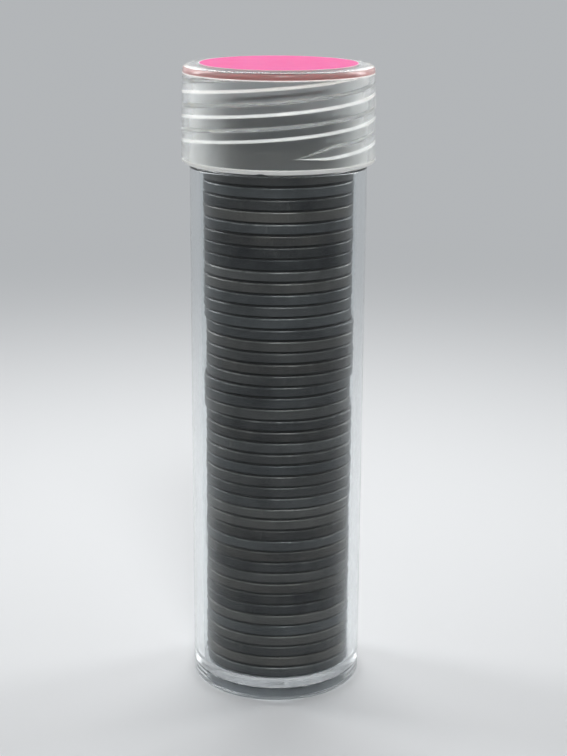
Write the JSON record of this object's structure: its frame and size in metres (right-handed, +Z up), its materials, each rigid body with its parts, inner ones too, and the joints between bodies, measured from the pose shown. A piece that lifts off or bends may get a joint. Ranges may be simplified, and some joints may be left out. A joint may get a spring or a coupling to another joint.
{
  "type": "coin tube",
  "caption": "Clear round coin tube with a translucent screw cap and a paper dot label, filled with a stack of coins.",
  "frame": {"origin": "on the tube's axis, in the plane that the tube stands on", "axes": "+Z up along the tube's axis, from the base to the cap; +X to the right and +Y away in the picture's view"},
  "size_m": [0.0244, 0.0244, 0.0817],
  "materials": {
    "clear_plastic": "clear, glossy, lightly scratched",
    "milky_plastic": "natural, translucent, satin",
    "label_paper": "matt dyed paper",
    "coin_metal": "dull grey, worn, with brighter edges"
  },
  "bodies": {
    "tube": {"tube_body": "clear_plastic"},
    "coin_stack": {"coin_01": "coin_metal", "coin_02": "coin_metal", "coin_03": "coin_metal", "coin_04": "coin_metal", "coin_05": "coin_metal", "coin_06": "coin_metal", "coin_07": "coin_metal", "coin_08": "coin_metal", "coin_09": "coin_metal", "coin_10": "coin_metal", "coin_11": "coin_metal", "coin_12": "coin_metal", "coin_13": "coin_metal", "coin_14": "coin_metal", "coin_15": "coin_metal", "coin_16": "coin_metal", "coin_17": "coin_metal", "coin_18": "coin_metal", "coin_19": "coin_metal", "coin_20": "coin_metal", "coin_21": "coin_metal", "coin_22": "coin_metal", "coin_23": "coin_metal", "coin_24": "coin_metal", "coin_25": "coin_metal", "coin_26": "coin_metal", "coin_27": "coin_metal", "coin_28": "coin_metal", "coin_29": "coin_metal", "coin_30": "coin_metal", "coin_31": "coin_metal", "coin_32": "coin_metal", "coin_33": "coin_metal", "coin_34": "coin_metal", "coin_35": "coin_metal", "coin_36": "coin_metal", "coin_37": "coin_metal", "coin_38": "coin_metal", "coin_39": "coin_metal", "coin_40": "coin_metal", "coin_41": "coin_metal", "coin_42": "coin_metal", "coin_43": "coin_metal", "coin_44": "coin_metal", "coin_45": "coin_metal", "coin_46": "coin_metal", "coin_47": "coin_metal", "coin_48": "coin_metal", "coin_49": "coin_metal", "coin_50": "coin_metal"},
    "cap_lift": {"round_label": "label_paper"},
    "cap": {"screw_cap": "milky_plastic"}
  },
  "joints": [
    {"name": "stack_slide", "type": "slide", "parent": "tube", "child": "coin_stack", "axis": [0, 0, 1], "range_m": [0, 0.004]},
    {"name": "cap_rise", "type": "slide", "parent": "tube", "child": "cap_lift", "axis": [0, 0, 1], "range_m": [0, 0.01201]},
    {"name": "cap_unscrew", "type": "hinge", "parent": "cap_lift", "child": "cap", "pos_m": [0, 0, 0.0756], "axis": [0, 0, 1], "range_deg": [0, 720]}
  ],
  "couplings": [
    {"joint": "cap_rise", "follows": "cap_unscrew", "m_per_rad": 0.00095493}
  ]
}
